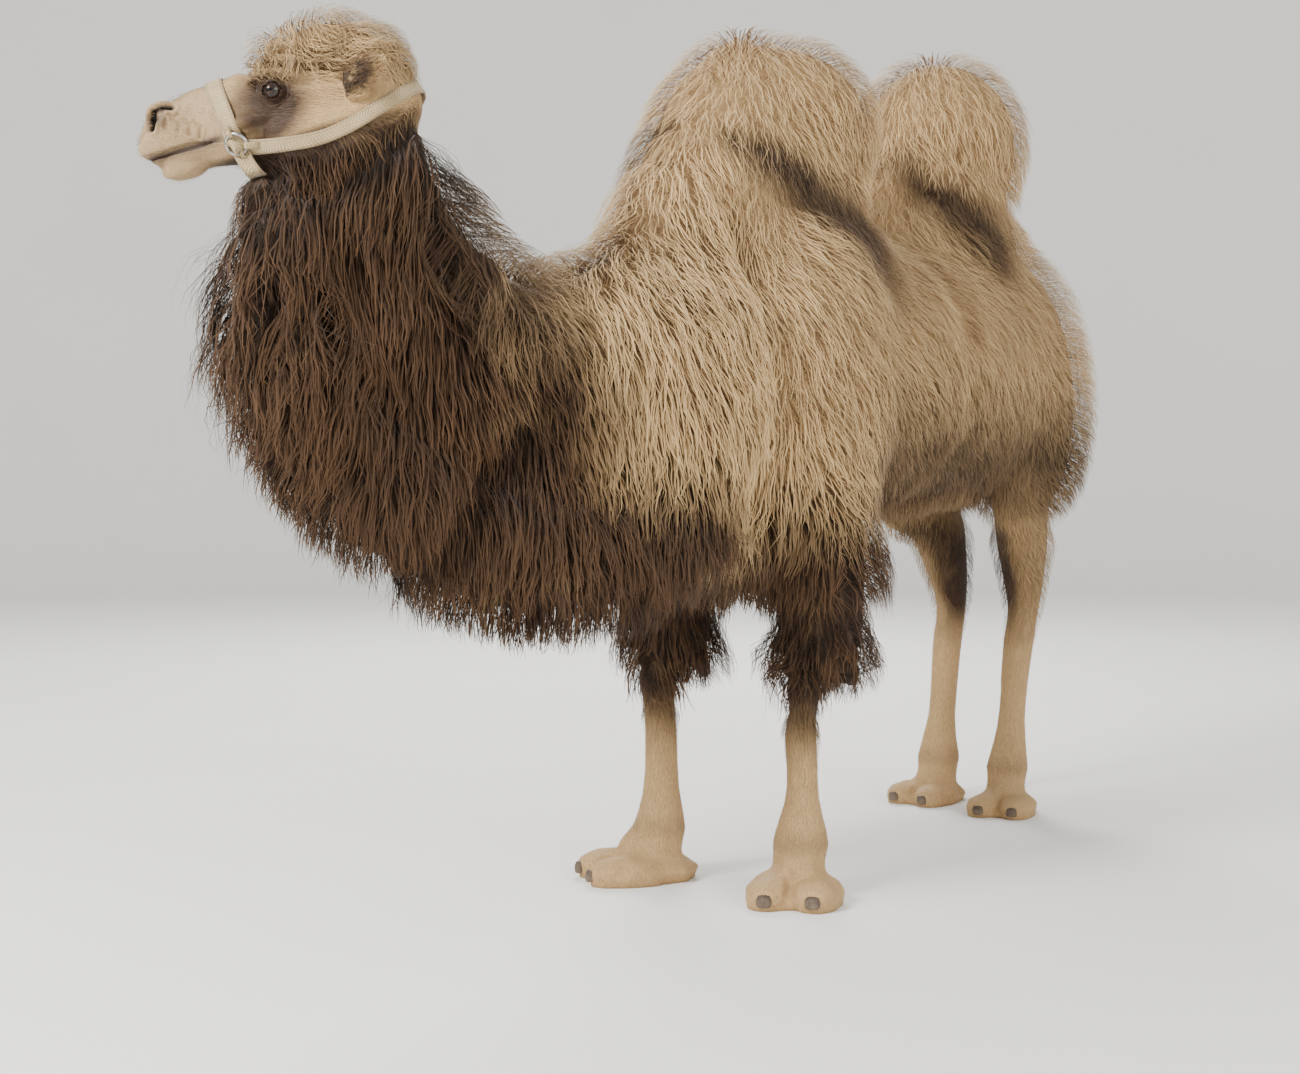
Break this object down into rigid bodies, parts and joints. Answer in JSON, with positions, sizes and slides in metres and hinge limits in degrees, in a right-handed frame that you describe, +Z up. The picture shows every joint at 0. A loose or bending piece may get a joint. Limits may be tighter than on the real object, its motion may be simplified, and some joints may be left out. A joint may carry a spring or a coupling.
{
  "type": "bactrian camel model",
  "caption": "Life-size still model of a two-humped camel in full winter coat, standing on four broad feet with its head turned to its right, wearing a plain halter",
  "frame": {"origin": "On the ground, at the middle of the bottom of the bounding box", "axes": "The camel looks along -Y, its left side is +X and +Z is up; its head is turned to its right, towards -X"},
  "size_m": [1.0362, 3.1234, 2.1789],
  "materials": {
    "dark_shag": "long dark hair",
    "eye": "wet, glossy",
    "face_coat": "short close hair",
    "foot_pad": "short hair and callused sole",
    "horn": "dull horn",
    "ring_steel": "worn steel",
    "webbing": "woven strap",
    "winter_coat": "long woolly winter hair"
  },
  "bodies": {
    "root": {"chest": "winter_coat", "head": "face_coat", "headstall": "webbing", "hump_front": "winter_coat", "hump_rear": "winter_coat", "left_ear": "face_coat", "left_eye": "eye", "left_fore_arm": "dark_shag", "left_fore_foot": "foot_pad", "left_fore_left_nail": "horn", "left_fore_right_nail": "horn", "left_fore_shank": "winter_coat", "left_hind_foot": "foot_pad", "left_hind_left_nail": "horn", "left_hind_right_nail": "horn", "left_hind_shank": "winter_coat", "left_hind_thigh": "winter_coat", "left_ring": "ring_steel", "loin": "winter_coat", "lower_jaw": "face_coat", "neck_lower": "winter_coat", "neck_upper": "dark_shag", "noseband": "webbing", "right_ear": "face_coat", "right_eye": "eye", "right_fore_arm": "dark_shag", "right_fore_foot": "foot_pad", "right_fore_left_nail": "horn", "right_fore_right_nail": "horn", "right_fore_shank": "winter_coat", "right_hind_foot": "foot_pad", "right_hind_left_nail": "horn", "right_hind_right_nail": "horn", "right_hind_shank": "winter_coat", "right_hind_thigh": "winter_coat", "right_ring": "ring_steel", "tail": "winter_coat"}
  },
  "joints": []
}
